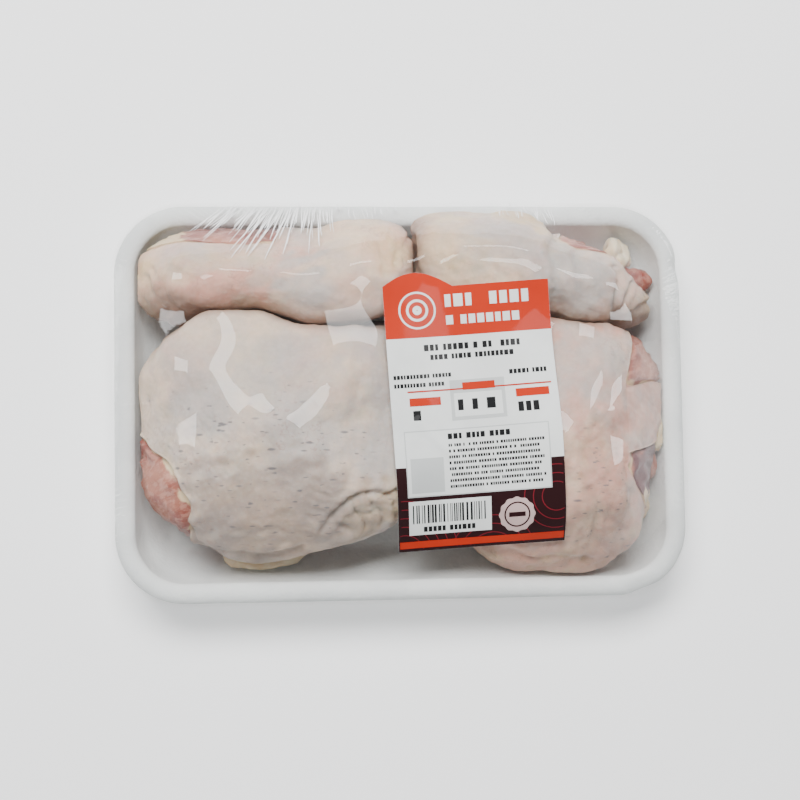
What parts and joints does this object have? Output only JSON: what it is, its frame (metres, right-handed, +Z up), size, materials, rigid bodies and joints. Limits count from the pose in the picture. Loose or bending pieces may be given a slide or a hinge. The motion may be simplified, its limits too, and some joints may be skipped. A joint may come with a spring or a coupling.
{
  "type": "tray pack of raw chicken thighs",
  "caption": "Sealed retail pack of skin-on raw chicken thighs: shallow foam tray with rounded corners, clear stretch film drawn over the food and under the tray, paper label on top.",
  "frame": {"origin": "middle of the pack's underside", "axes": "+X along the long side of the tray, +Y towards its back long side, +Z up"},
  "size_m": [0.21, 0.146, 0.0594],
  "materials": {
    "tray_foam": "white foamed plastic, fine bead texture, satin",
    "raw_meat": "wet raw dark poultry meat, fibrous, with pale yellow fat",
    "raw_skin": "moist raw skin, pale pink and bluish, with pores",
    "clear_film": "clear glossy stretch film",
    "label_paper": "coated white paper with red, dark and grey fields"
  },
  "bodies": {
    "root": {"tray": "tray_foam", "thigh_front_left_meat": "raw_meat", "thigh_front_left_skin": "raw_skin", "thigh_back_left_meat": "raw_meat", "thigh_back_left_skin": "raw_skin", "thigh_back_right_meat": "raw_meat", "thigh_back_right_skin": "raw_skin", "thigh_front_right_meat": "raw_meat", "thigh_front_right_skin": "raw_skin", "film": "clear_film", "label": "label_paper"}
  },
  "joints": []
}
